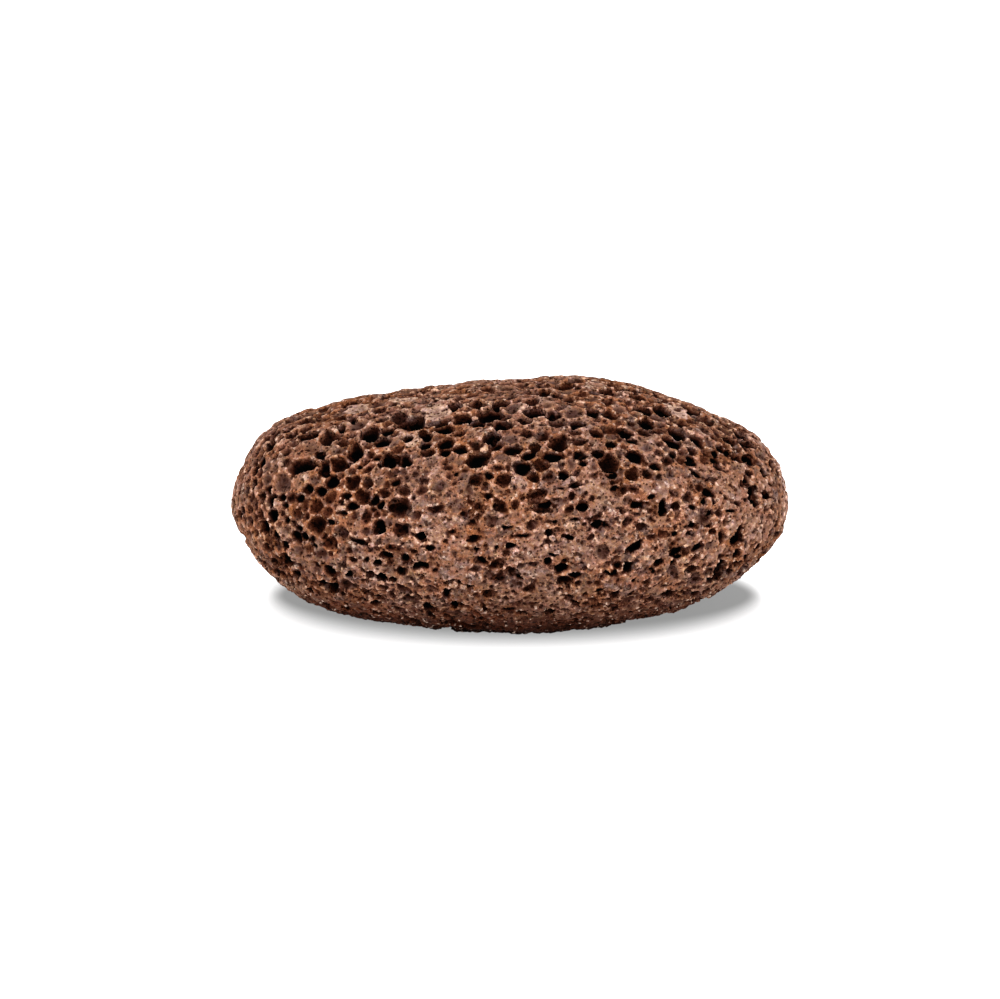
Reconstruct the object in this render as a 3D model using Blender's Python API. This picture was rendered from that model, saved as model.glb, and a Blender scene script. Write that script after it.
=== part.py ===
"""A pumice stone: one rounded block of reddish-brown lava foam, open bubbles all over its skin.

The stone lies on its worn underside, long way along X, broad face towards -Y. Its origin is the
middle of its footprint. It is one smooth rounded body with every large bubble cut out of it.
"""

import math
import random

import bmesh
import bpy
from mathutils import Matrix, Vector, noise
from mathutils.bvhtree import BVHTree

MM = 0.001

# Driving sizes of the whole stone.
LENGTH = 100 * MM
WAIST_HEIGHT = 21.5 * MM    # height of the fullest level above the ground

# How square the stone is: 2 would make ellipses, larger powers make fuller corners.
END_POWER = 2.25
SECTION_POWER = 2.2

# Hand-shaped stations along the stone: (x, rise above the waist, drop below the waist,
# reach to the front, reach to the back) in mm, each before the ends round it off.
STATIONS = (
    (-50, 22.8, 18.0, 27.6, 28.6),
    (-42, 23.6, 22.0, 28.4, 29.0),
    (-36, 21.0, 23.3, 28.8, 29.2),
    (-22, 20.6, 22.0, 29.2, 29.2),
    (-4, 21.4, 22.0, 29.4, 28.8),
    (16, 22.8, 22.1, 29.2, 28.4),
    (28, 22.3, 21.9, 28.8, 28.0),
    (38, 21.4, 21.2, 28.4, 28.0),
    (45, 23.5, 20.5, 28.0, 28.0),
    (50, 25.0, 19.5, 27.6, 27.6),
)

BODY_SUBDIVISIONS = 4       # of the ball that the body starts from
LUMP_SPACING = 14 * MM      # broad unevenness of the worn skin
LUMP_HEIGHT = 0.5 * MM

# The pits on the near side are placed by line of sight, from an eye in front of the stone.
EYE_DISTANCE = 0.8
EYE_RISE = math.radians(16)
FLATTEST_SIGHT = 0.45       # a mouth seen edge on is opened out by no more than 1 over this

# How deep a bubble is cut, as a share of its mouth.
DEEP = 0.85
HALF = 0.55
DISH = 0.3
FLAT = 0.25

# The largest open bubbles as they show from the front: (across, up, width, height) in mm from
# the stone's middle, then how far the mouth leans in degrees, then its depth.
UPPER_LEFT_PITS = (
    (-27.6, 14.2, 3.3, 2.0, 0, DISH), (-25.3, 12.8, 3.4, 2.5, 40, DEEP), (-23.2, 11.5, 3.1, 1.6, 30, DEEP),
    (-32.7, 12.2, 3.8, 2.7, 10, HALF), (-36.3, 12.2, 4.0, 1.6, 25, DEEP), (-36.8, 14.9, 3.1, 1.3, 30, DEEP),
    (-39.3, 15.3, 3.1, 1.1, 25, HALF), (-34.3, 15.3, 2.7, 1.4, 20, HALF), (-35.7, 10.4, 2.7, 3.1, 30, FLAT),
    (-28.1, 9.3, 3.1, 3.1, 0, DEEP), (-30.9, 9.8, 2.9, 1.4, 0, DISH), (-30.8, 7.3, 3.4, 2.4, 0, HALF),
    (-33.7, 6.1, 2.4, 2.4, 0, DEEP), (-37.6, 6.6, 6.9, 2.0, -5, DEEP), (-32.2, 4.1, 2.4, 1.6, 0, DEEP),
    (-28.4, 4.0, 2.5, 2.4, 10, HALF), (-36.6, 2.8, 2.4, 1.4, -10, DEEP), (-35.2, 4.4, 3.1, 1.6, 0, DISH),
    (-41.1, 3.7, 3.6, 3.6, 20, DISH), (-26.1, 1.2, 4.0, 2.5, -20, DEEP), (-38.2, 4.1, 2.5, 3.6, 0, FLAT),
    (-27.4, 17.3, 3.3, 1.8, 20, FLAT), (-23.8, 18.0, 3.3, 1.4, 15, DISH),
)
UPPER_MIDDLE_PITS = (
    (-19.9, 15.8, 2.9, 2.2, 20, HALF), (-18.2, 14.9, 4.3, 2.9, 30, DEEP), (-13.0, 16.9, 4.3, 2.9, 30, FLAT),
    (-12.6, 14.9, 5.8, 1.1, 25, HALF), (-11.9, 13.7, 2.9, 1.3, 5, DEEP), (-8.8, 15.4, 4.0, 1.6, 20, DEEP),
    (-5.8, 18.0, 3.1, 1.4, 25, HALF), (-3.5, 16.5, 4.0, 2.0, 25, DEEP), (0.5, 17.4, 3.1, 1.8, 0, DISH),
    (-1.2, 14.2, 3.6, 1.4, -5, DEEP), (4.4, 16.7, 4.5, 1.6, 0, DEEP), (2.9, 15.2, 2.4, 1.4, -10, HALF),
    (-18.4, 12.0, 2.4, 1.4, 10, DEEP), (-17.8, 11.5, 3.3, 2.5, 0, FLAT), (-11.6, 11.1, 2.4, 1.4, 20, DEEP),
    (-3.3, 12.1, 3.1, 1.8, 35, DEEP), (-6.1, 10.6, 2.5, 1.4, 0, HALF), (-2.4, 10.8, 2.4, 1.6, 30, HALF),
    (-8.9, 9.8, 2.9, 1.3, 0, DEEP), (-19.3, 8.0, 2.4, 2.0, 45, DEEP), (-22.0, 8.0, 3.6, 2.5, 40, DEEP),
    (-5.8, 8.2, 6.1, 2.0, 18, DEEP), (0.5, 9.7, 4.5, 1.3, 8, DEEP), (-1.5, 8.2, 2.9, 1.3, 0, DISH),
    (2.2, 6.4, 3.6, 1.8, -15, DEEP), (-12.7, 3.3, 3.6, 2.4, 20, DISH), (-19.0, 2.4, 2.5, 1.4, 0, HALF),
    (4.4, 4.7, 2.5, 1.4, -20, HALF),
)
UPPER_RIGHT_PITS = (
    (10.2, 21.4, 2.9, 1.3, 0, HALF), (18.4, 20.1, 3.6, 1.4, 0, HALF), (23.0, 19.3, 3.3, 1.1, -10, DEEP),
    (27.0, 19.3, 3.6, 0.9, 5, DEEP), (8.0, 16.2, 2.9, 1.3, 0, DEEP), (11.7, 16.5, 3.8, 1.8, 0, DISH),
    (15.0, 16.5, 1.8, 1.8, 0, DEEP), (18.2, 16.1, 2.7, 1.4, 0, HALF), (24.0, 17.1, 2.7, 1.4, -15, DEEP),
    (27.6, 17.0, 2.7, 2.2, 0, DEEP), (30.3, 16.9, 2.5, 2.4, 0, FLAT), (32.8, 17.3, 3.1, 2.2, -10, DEEP),
    (35.0, 15.5, 4.2, 2.4, 0, HALF), (8.8, 14.7, 2.9, 1.4, 10, HALF), (12.4, 14.4, 3.4, 1.3, 15, DEEP),
    (24.9, 14.6, 2.4, 1.6, -20, DEEP), (30.6, 15.0, 3.3, 1.6, 10, HALF), (30.6, 12.9, 3.1, 2.0, 10, DEEP),
    (5.9, 12.3, 2.9, 1.3, 5, HALF), (8.9, 11.2, 3.4, 2.5, 10, HALF), (12.6, 11.4, 3.3, 1.4, 0, HALF),
    (29.7, 11.2, 3.6, 1.3, 10, DEEP), (8.0, 8.6, 4.7, 1.4, 0, DEEP), (12.7, 8.8, 2.9, 1.3, 5, DEEP),
    (18.0, 7.5, 3.6, 2.9, 0, HALF), (22.6, 8.6, 4.7, 1.3, 0, DEEP), (11.7, 3.5, 2.9, 1.4, 10, DEEP),
    (7.1, 4.9, 2.9, 1.8, 0, DISH), (41.9, 12.6, 2.2, 1.6, -30, DEEP), (34.0, 11.5, 2.2, 2.4, 45, DEEP),
    (45.5, 8.9, 3.1, 2.2, -20, DISH), (44.0, 1.9, 2.7, 2.0, 0, DEEP), (32.4, 1.0, 2.5, 1.8, -20, HALF),
)
LOWER_LEFT_PITS = (
    (-42.9, -2.0, 2.2, 1.8, 0, DEEP), (-35.0, -4.1, 2.9, 2.0, 0, DEEP), (-23.8, -4.4, 2.2, 2.0, -10, DEEP),
    (-27.4, -6.9, 4.3, 1.1, -8, DEEP), (-40.3, -10.3, 2.7, 1.4, -40, DEEP),
    (-32.2, -15.4, 2.5, 1.4, 10, HALF),
    (-29.4, -14.8, 3.3, 1.6, 0, DISH),
)
LOWER_MIDDLE_PITS = (
    (-20.2, -0.1, 4.7, 3.3, 0, DEEP), (-13.5, -1.0, 4.3, 1.4, 5, HALF), (-13.9, -2.4, 2.5, 1.6, -30, DISH),
    (-8.0, -2.0, 2.5, 1.4, 25, HALF), (-1.9, -0.7, 3.6, 1.8, -25, DEEP), (-3.3, -3.1, 3.6, 2.2, 0, DISH),
    (-19.5, -4.6, 2.9, 2.2, 0, HALF), (-16.0, -6.1, 2.0, 1.8, 20, DEEP), (-5.6, -11.0, 2.9, 2.5, -20, DEEP),
    (0.5, -12.7, 2.5, 1.8, -20, DEEP), (1.3, -14.7, 2.7, 1.6, -10, DISH),
)
LOWER_RIGHT_PITS = (
    (5.4, 0.5, 4.7, 4.0, 0, DEEP), (8.9, 0.3, 2.9, 1.4, 0, DISH), (23.5, -0.3, 3.6, 1.4, 0, DEEP),
    (16.5, -3.7, 4.3, 0.9, 5, DEEP), (22.5, -8.0, 3.6, 1.6, 28, DEEP), (16.5, -8.9, 3.6, 2.5, 0, DISH),
    (30.1, -8.7, 3.3, 1.1, 20, DEEP), (29.9, -12.7, 2.7, 3.1, 0, DISH),
)
RIGHT_END_PITS = (
    (35.5, -2.3, 3.3, 2.9, 0, DISH), (37.9, -12.9, 2.4, 1.6, 0, HALF), (33.7, -13.9, 2.9, 2.0, 0, DISH),
)
NEAR_PITS = (
    UPPER_LEFT_PITS + UPPER_MIDDLE_PITS + UPPER_RIGHT_PITS
    + LOWER_LEFT_PITS + LOWER_MIDDLE_PITS + LOWER_RIGHT_PITS + RIGHT_END_PITS
)

# The pits on the far side, the ends and the underside are scattered, largest first.
SCATTER_SEED = 11
SCATTER_SIZES = ((5.0, 50), (4.2, 150), (3.4, 1500))   # (mouth in mm, tries)
SCATTER_DEPTHS = (DEEP, DEEP, HALF)
SCATTER_STRETCH = (0.7, 1.0)    # short side of a mouth over its long side

NEAR_FLOOR = 0.5            # radius of a pit's floor over that of its mouth
SCATTER_FLOOR = 0.0         # the scattered pits end in a point
PIT_SIDES = 6
PIT_OVERSHOOT = 0.5 * MM    # how far a cutter stands out of the skin
NEAR_WALL = 0.35 * MM       # thinnest wall left between two pits
SCATTER_WALL = 1.2 * MM
FOOT_CLEARANCE = 0.6 * MM   # the pits stay this far above the ground, so the foot is whole

STONE_COLOR = (0.144, 0.065, 0.042, 1.0)
STONE_ROUGHNESS = 0.95


def clear_scene():
    """Remove whatever the file held before."""
    for scene_object in list(bpy.data.objects):
        bpy.data.objects.remove(scene_object, do_unlink=True)


def station_at(x_mm):
    """Blend the hand-shaped stations at one place along the stone."""
    for near, far in zip(STATIONS, STATIONS[1:]):
        if x_mm <= far[0]:
            share = max(0.0, (x_mm - near[0]) / (far[0] - near[0]))
            eased = share * share * (3 - 2 * share)
            return [(a + (b - a) * eased) * MM for a, b in zip(near[1:], far[1:])]
    return [value * MM for value in STATIONS[-1][1:]]


def body_point(direction):
    """Return the point of the smooth body that lies towards a unit direction."""
    along = direction.x
    rise, drop, front, back = station_at(along * LENGTH / 2 / MM)
    end_rounding = max(0.0, 1 - abs(along) ** END_POWER) ** (1 / END_POWER)
    angle = math.atan2(direction.z, direction.y)
    sideways = math.copysign(abs(math.cos(angle)) ** (2 / SECTION_POWER), math.cos(angle))
    upward = math.copysign(abs(math.sin(angle)) ** (2 / SECTION_POWER), math.sin(angle))
    reach = back if sideways > 0 else front
    height = rise if upward > 0 else drop
    point = Vector((
        along * LENGTH / 2,
        sideways * reach * end_rounding,
        upward * height * end_rounding,
    ))
    lump = noise.noise(point / LUMP_SPACING) * LUMP_HEIGHT
    return point + direction * lump + Vector((0, 0, WAIST_HEIGHT))


def new_object(name, mesh_builder):
    """Turn a bmesh into a named object of the scene."""
    mesh = bpy.data.meshes.new(name)
    mesh_builder.to_mesh(mesh)
    mesh_builder.free()
    scene_object = bpy.data.objects.new(name, mesh)
    bpy.context.scene.collection.objects.link(scene_object)
    return scene_object


def add_body():
    """Make the smooth rounded block with its flat worn foot on the ground."""
    body = bmesh.new()
    lengthways = Matrix.Rotation(math.pi / 2, 4, "Y")
    bmesh.ops.create_icosphere(body, subdivisions=BODY_SUBDIVISIONS, radius=1, matrix=lengthways)
    for vertex in body.verts:
        vertex.co = body_point(vertex.co.normalized())
    everything = body.verts[:] + body.edges[:] + body.faces[:]
    ground = Vector((0, 0, 0))
    cut = bmesh.ops.bisect_plane(
        body, geom=everything, plane_co=ground, plane_no=Vector((0, 0, 1)), clear_inner=True,
    )
    foot_edges = [part for part in cut["geom_cut"] if isinstance(part, bmesh.types.BMEdge)]
    bmesh.ops.contextual_create(body, geom=foot_edges)
    centre_on_footprint(body)
    bmesh.ops.recalc_face_normals(body, faces=body.faces[:])
    return body


def centre_on_footprint(body):
    """Slide the body so that the middle of its footprint is the origin."""
    for axis in (0, 1):
        values = [vertex.co[axis] for vertex in body.verts]
        middle = (min(values) + max(values)) / 2
        for vertex in body.verts:
            vertex.co[axis] -= middle


def pit_from_sight(skin, across, up, width, height, lean):
    """Find where a pit seen from the front opens: its place, outward normal and half axes."""
    view_up = Vector((0, math.sin(EYE_RISE), math.cos(EYE_RISE)))
    towards_eye = Vector((0, -math.cos(EYE_RISE), math.sin(EYE_RISE)))
    middle = Vector((0, 0, WAIST_HEIGHT))
    eye = middle + towards_eye * EYE_DISTANCE
    target = middle + Vector((1, 0, 0)) * across * MM + view_up * up * MM
    sight = (target - eye).normalized()
    place, normal, _, _ = skin.ray_cast(eye, sight)
    if place is None:
        return None
    lean_turn = Matrix.Rotation(math.radians(lean), 3, towards_eye)
    long_axis = lean_turn @ Vector((1, 0, 0))
    long_axis = (long_axis - normal * long_axis.dot(normal)).normalized()
    short_axis = normal.cross(long_axis)
    edge_on = max(FLATTEST_SIGHT, -sight.dot(normal))
    return place, normal, long_axis * width / 2 * MM, short_axis * height / 2 * MM / edge_on


def scattered_pit(skin, chance, mouth):
    """Find a random place on the body for a pit of one size."""
    direction = Vector([chance.gauss(0, 1) for _ in range(3)]).normalized()
    outside = Vector((0, 0, WAIST_HEIGHT)) + direction * LENGTH
    place, normal, _, _ = skin.ray_cast(outside, -direction)
    long_axis = normal.orthogonal().normalized()
    long_axis.rotate(Matrix.Rotation(chance.uniform(0, math.pi), 3, normal))
    short_axis = normal.cross(long_axis) * chance.uniform(*SCATTER_STRETCH)
    return place, normal, long_axis * mouth / 2 * MM, short_axis * mouth / 2 * MM


def choose_pits(skin):
    """List every pit that has room: those seen from the front first, then the scattered ones."""
    chosen = []
    for across, up, width, height, lean, depth in NEAR_PITS:
        pit = pit_from_sight(skin, across, up, width, height, lean)
        if pit and has_room(pit, chosen, NEAR_WALL):
            chosen.append((*pit, depth, NEAR_FLOOR))
    chance = random.Random(SCATTER_SEED)
    for mouth, tries in SCATTER_SIZES:
        for _ in range(tries):
            pit = scattered_pit(skin, chance, mouth)
            depth = chance.choice(SCATTER_DEPTHS)
            if has_room(pit, chosen, SCATTER_WALL):
                chosen.append((*pit, depth, SCATTER_FLOOR))
    return chosen


def has_room(pit, chosen, wall):
    """Tell whether a pit clears the foot and leaves a wall to every pit before it."""
    place, _, long_axis, short_axis = pit
    lowest = place.z - math.hypot(long_axis.z, short_axis.z)
    if lowest < FOOT_CLEARANCE:
        return False
    for other_place, _, other_long, other_short, _, _ in chosen:
        gap = place - other_place
        towards = gap.normalized()
        own_reach = mouth_reach(long_axis, short_axis, towards)
        other_reach = mouth_reach(other_long, other_short, towards)
        if gap.length < own_reach + other_reach + wall:
            return False
    return True


def mouth_reach(long_axis, short_axis, towards):
    """Return how far an oval mouth reaches from its middle in one direction."""
    along = towards.dot(long_axis) / long_axis.length_squared
    aside = towards.dot(short_axis) / short_axis.length_squared
    flat = max(math.hypot(along, aside), 1 / long_axis.length)
    return 1 / flat


def add_pit_cutter(cutter, pit):
    """Add one tapering cup, which is narrower at its floor, to the cutter."""
    place, normal, long_axis, short_axis, depth, floor = pit
    depth_length = depth * (long_axis.length + short_axis.length)
    taper = (1 - floor) / depth_length
    mouth_scale = 1 + taper * PIT_OVERSHOOT
    height = depth_length + PIT_OVERSHOOT
    axes = Matrix((long_axis, short_axis, normal)).transposed().to_4x4()
    middle = place + normal * (PIT_OVERSHOOT - depth_length) / 2
    bmesh.ops.create_cone(
        cutter, cap_ends=True, segments=PIT_SIDES, radius1=floor, radius2=mouth_scale,
        depth=height, matrix=Matrix.Translation(middle) @ axes,
    )


def carve_pits(stone, pits):
    """Cut every pit out of the stone at once."""
    cutter = bmesh.new()
    for pit in pits:
        add_pit_cutter(cutter, pit)
    bubbles = new_object("bubbles", cutter)
    bubbles.hide_render = True
    bubbles.display_type = "WIRE"
    carving = stone.modifiers.new("pits", "BOOLEAN")
    carving.operation = "DIFFERENCE"
    carving.object = bubbles
    carving.use_self = True


def stone_material():
    """Make the dull reddish-brown of the stone."""
    material = bpy.data.materials.new("lava_foam")
    material.use_nodes = True
    surface = material.node_tree.nodes["Principled BSDF"]
    surface.inputs["Base Color"].default_value = STONE_COLOR
    surface.inputs["Roughness"].default_value = STONE_ROUGHNESS
    surface.inputs["Metallic"].default_value = 0.0
    return material


def main():
    """Build the body, then cut every bubble out of it."""
    clear_scene()
    body = add_body()
    skin = BVHTree.FromBMesh(body)
    pits = choose_pits(skin)
    stone = new_object("stone", body)
    stone.data.materials.append(stone_material())
    carve_pits(stone, pits)


main()
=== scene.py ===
"""A pumice stone on a pale floor.

The stone is carved as the real one formed: a smooth block, then thousands of gas bubbles taken
out of it where they reach the skin. What the bubbles leave is roughened and gets a dry,
mottled, reddish-brown finish, with painted highlights on the rims and painted shade that is
darkest deep inside the bubbles.
"""

import math

import bpy
import numpy as np
from mathutils import Matrix, Vector, kdtree
from mathutils.bvhtree import BVHTree


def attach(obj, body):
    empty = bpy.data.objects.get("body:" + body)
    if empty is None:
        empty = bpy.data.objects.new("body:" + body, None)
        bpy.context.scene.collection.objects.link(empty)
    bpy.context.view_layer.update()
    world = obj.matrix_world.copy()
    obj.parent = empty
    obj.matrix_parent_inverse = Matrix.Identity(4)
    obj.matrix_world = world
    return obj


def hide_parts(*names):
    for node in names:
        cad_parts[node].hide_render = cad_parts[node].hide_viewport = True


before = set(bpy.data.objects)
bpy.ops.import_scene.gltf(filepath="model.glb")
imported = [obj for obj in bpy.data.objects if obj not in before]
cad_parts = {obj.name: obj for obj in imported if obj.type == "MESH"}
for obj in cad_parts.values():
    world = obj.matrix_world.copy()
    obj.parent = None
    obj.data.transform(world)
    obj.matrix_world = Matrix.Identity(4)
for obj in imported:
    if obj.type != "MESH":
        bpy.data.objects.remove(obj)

MM = 0.001
TINY = 1e-9                     # keeps a division by a length from failing
BLACK, WHITE = (0, 0, 0, 1), (1, 1, 1, 1)

# Where the stone is looked at from: the middle of the stone as it shows, and the eye's place.
STONE_MIDDLE = Vector((0, 0, 21.5 * MM))
EYE_DISTANCE = 0.8
EYE_RISE = math.radians(16)
TOWARDS_EYE = Vector((0, -math.cos(EYE_RISE), math.sin(EYE_RISE)))
VIEW_UP = Vector((0, math.sin(EYE_RISE), math.cos(EYE_RISE)))
VIEW_WIDTH = 180.8 * MM         # what the camera takes in at the stone
SENSOR_WIDTH = 36               # of the camera, in mm
STONE_RIGHT = 1.7 * MM          # how far right of the view's middle the stone sits
STONE_LOW = 0.7 * MM            # and how far below it

# Smooth skin, drawn over the solid and its pits.
MERGE_REACH = 0.001 * MM        # corners of the solid closer than this are one
SKIN_CELL = 0.8 * MM
SKIN_SMOOTHING = 20
SKIN_REGAIN = 0.1 * MM          # what smoothing takes off

# Kinds of bubble: (how far its middle sinks below the skin, over its half depth; its half
# depth over its half width; how dark painted shade makes its bottom).
DEEP = (0.25, 1.25, 1.0)
BOWL = (0.1, 1.05, 1.0)
HALF = (0.0, 1.0, 0.7)
CUP = (-0.2, 1.0, 0.52)
DISH = (-0.45, 0.9, 0.4)
SCRAPE = (-0.7, 0.8, 0.12)
FLAT = (-0.7, 0.8, 0.0)
SHALLOW_SINK = -0.4             # a kind that sinks less than this is shallow

# The open bubbles as they show from the front: (across, up, width, height) in mm from the
# stone's middle, then how far the mouth leans in degrees, then its kind.
UPPER_LEFT_PITS = (
    (-28.6, 15.3, 1.3, 1.4, 50, DEEP), (-30.6, 15.6, 2.0, 1.1, 15, HALF), (-30.5, 13.7, 1.6, 1.1, 35, DEEP),
    (-27.6, 14.2, 3.3, 2.0, 0, DISH), (-25.3, 12.8, 3.4, 2.5, 40, BOWL), (-22.3, 13.4, 2.2, 0.9, 5, DEEP),
    (-23.2, 11.5, 3.1, 1.6, 30, BOWL), (-25.7, 10.6, 1.6, 1.1, 0, HALF), (-32.7, 12.2, 3.8, 2.7, 10, HALF),
    (-30.3, 11.1, 2.0, 1.4, 10, HALF), (-36.3, 12.2, 4.0, 1.6, 25, BOWL), (-39.4, 12.5, 2.0, 0.9, 20, HALF),
    (-36.8, 14.9, 3.1, 1.3, 30, BOWL), (-39.3, 15.3, 3.1, 1.1, 25, HALF), (-34.3, 15.3, 2.7, 1.4, 20, HALF),
    (-42.8, 13.3, 1.6, 0.7, 20, HALF), (-42.6, 12.4, 2.0, 1.1, 20, HALF), (-44.4, 11.3, 1.6, 0.9, 10, HALF),
    (-43.3, 10.6, 2.2, 0.9, 5, DEEP), (-44.9, 7.5, 1.1, 0.9, 0, DEEP), (-46.1, 6.1, 1.3, 1.4, 0, HALF),
    (-34.5, 9.1, 1.4, 1.6, 55, DEEP), (-35.7, 10.4, 2.7, 3.1, 30, SCRAPE), (-28.1, 9.3, 3.1, 3.1, 0, BOWL),
    (-30.9, 9.8, 2.9, 1.4, 0, DISH), (-30.8, 7.3, 3.4, 2.4, 0, HALF), (-33.7, 6.1, 2.4, 2.4, 0, BOWL),
    (-37.6, 6.6, 6.9, 2.0, -5, BOWL), (-32.2, 4.1, 2.4, 1.6, 0, BOWL), (-28.4, 4.0, 2.5, 2.4, 10, HALF),
    (-28.5, 5.7, 1.1, 0.9, 0, HALF), (-27.2, 6.7, 0.9, 0.5, 0, DEEP), (-23.9, 8.4, 1.1, 0.7, 0, DEEP),
    (-23.2, 7.1, 1.8, 1.1, 0, DEEP), (-25.5, 6.2, 2.5, 0.7, 30, HALF), (-36.6, 2.8, 2.4, 1.4, -10, BOWL),
    (-34.3, 2.2, 2.0, 1.1, 0, DEEP), (-35.2, 4.4, 3.1, 1.6, 0, DISH), (-41.1, 3.7, 3.6, 3.6, 20, DISH),
    (-43.8, 4.4, 2.0, 1.6, 0, DISH), (-43.8, 2.6, 1.4, 1.1, 0, DEEP), (-46.3, 3.7, 1.4, 1.1, 0, HALF),
    (-47.4, 2.3, 1.3, 1.1, 0, HALF), (-44.9, 1.4, 1.8, 1.6, 0, HALF), (-43.3, 0.3, 1.6, 2.0, -10, DEEP),
    (-41.3, 1.3, 1.6, 1.1, 0, DEEP), (-39.8, 1.2, 1.6, 1.3, -30, HALF), (-38.1, 1.2, 1.4, 0.9, 0, DEEP),
    (-29.6, 1.4, 1.6, 0.9, 0, DEEP), (-26.5, 1.5, 2.9, 2.0, -25, HALF), (-24.5, 0.6, 1.8, 1.6, -20, DEEP),
    (-38.2, 4.1, 2.5, 3.6, 0, SCRAPE), (-27.4, 17.3, 3.3, 1.8, 20, FLAT), (-23.8, 18.0, 3.3, 1.4, 15, DISH),
)
UPPER_MIDDLE_PITS = (
    (-19.9, 15.8, 2.9, 2.2, 20, HALF), (-18.2, 14.9, 4.3, 2.9, 30, BOWL), (-20.8, 18.0, 1.6, 0.9, 15, DEEP),
    (-18.2, 19.8, 2.2, 0.5, 5, DEEP), (-18.4, 18.9, 3.3, 0.9, 0, FLAT), (-15.5, 19.3, 2.2, 0.9, 0, HALF),
    (-14.2, 20.2, 2.4, 0.9, 5, DEEP), (-13.4, 18.6, 1.6, 0.5, 5, DEEP), (-13.0, 16.9, 4.3, 2.9, 30, FLAT),
    (-12.6, 14.9, 5.8, 1.1, 25, HALF), (-9.9, 17.8, 2.5, 1.1, 10, DEEP), (-11.9, 13.7, 2.9, 1.3, 5, BOWL),
    (-8.8, 15.4, 4.0, 1.6, 20, BOWL), (-5.8, 18.0, 3.1, 1.4, 25, HALF), (-3.5, 16.5, 4.0, 2.0, 25, BOWL),
    (-1.4, 18.2, 2.4, 1.1, 5, DEEP), (0.5, 17.4, 3.1, 1.8, 0, DISH), (-5.8, 14.6, 2.7, 1.1, 0, DEEP),
    (-3.7, 14.6, 1.6, 0.9, 20, HALF), (-1.2, 14.2, 3.6, 1.4, -5, BOWL), (4.4, 16.7, 4.5, 1.6, 0, BOWL),
    (2.9, 15.2, 2.4, 1.4, -10, HALF), (-18.4, 12.0, 2.4, 1.4, 10, BOWL), (-17.8, 11.5, 3.3, 2.5, 0, FLAT),
    (-15.5, 12.5, 2.2, 1.4, 0, DEEP), (-15.5, 10.9, 1.8, 1.1, 15, DEEP), (-11.6, 11.1, 2.4, 1.4, 20, BOWL),
    (-8.9, 12.7, 2.4, 0.7, 15, HALF), (-3.3, 12.1, 3.1, 1.8, 35, BOWL), (0.3, 11.8, 2.2, 1.3, 0, DISH),
    (3.2, 12.7, 2.4, 1.3, 10, HALF), (-6.1, 10.6, 2.5, 1.4, 0, HALF), (-2.4, 10.8, 2.4, 1.6, 30, HALF),
    (-8.9, 9.8, 2.9, 1.3, 0, BOWL), (-11.6, 9.5, 1.6, 1.4, 10, DEEP), (-14.9, 9.3, 2.2, 1.3, 0, HALF),
    (-19.3, 8.0, 2.4, 2.0, 45, BOWL), (-22.0, 8.0, 3.6, 2.5, 40, BOWL), (-5.8, 8.2, 6.1, 2.0, 18, BOWL),
    (0.5, 9.7, 4.5, 1.3, 8, BOWL), (3.3, 8.8, 3.4, 0.9, 28, DEEP), (-1.5, 8.2, 2.9, 1.3, 0, DISH),
    (-2.3, 6.5, 2.7, 0.9, 5, HALF), (2.2, 6.4, 3.6, 1.8, -15, BOWL), (-11.2, 6.5, 1.4, 0.9, 20, HALF),
    (-3.8, 5.2, 1.3, 0.9, -20, DEEP), (-9.7, 5.4, 0.9, 0.5, 0, DEEP), (-12.7, 3.3, 3.6, 2.4, 20, DISH),
    (-15.6, 4.3, 2.2, 1.1, 0, HALF), (-19.0, 2.4, 2.5, 1.4, 0, HALF), (-20.4, 4.0, 2.2, 0.9, 20, HALF),
    (4.4, 4.7, 2.5, 1.4, -20, HALF), (-3.8, 1.5, 1.4, 0.9, 20, DEEP), (-22.7, 1.9, 1.8, 1.3, 0, HALF),
)
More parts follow.
